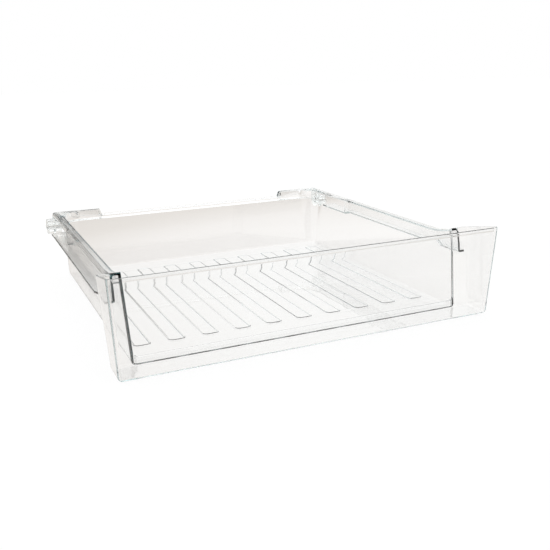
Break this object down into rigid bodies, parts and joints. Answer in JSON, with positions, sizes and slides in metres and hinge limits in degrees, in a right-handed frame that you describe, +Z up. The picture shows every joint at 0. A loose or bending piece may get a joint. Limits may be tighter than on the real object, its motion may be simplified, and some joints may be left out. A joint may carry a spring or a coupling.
{
  "type": "fridge deli drawer",
  "caption": "Clear moulded fridge drawer tray with an open-topped front trough, rolled side rims with slide rails, a ribbed floor and rollers at the rear corners.",
  "frame": {"origin": "middle of the drawer's bounding box, on the surface that the drawer stands on", "axes": "+Z up, +Y towards the back of the fridge, +X to the right seen from the front"},
  "size_m": [0.45, 0.427, 0.105],
  "materials": {
    "clear_moulding": "polished, water-clear",
    "clear_roller": "polished, slightly milky"
  },
  "bodies": {
    "tray": {"drawer_tray": "clear_moulding"},
    "left_roller": {"left_roller": "clear_roller"},
    "right_roller": {"right_roller": "clear_roller"}
  },
  "joints": [
    {"name": "left_roller_spin", "type": "hinge", "parent": "tray", "child": "left_roller", "pos_m": [-0.2116, 0.196, 0.071], "axis": [1, 0, 0], "continuous": true},
    {"name": "right_roller_spin", "type": "hinge", "parent": "tray", "child": "right_roller", "pos_m": [0.2116, 0.196, 0.071], "axis": [1, 0, 0], "continuous": true}
  ]
}
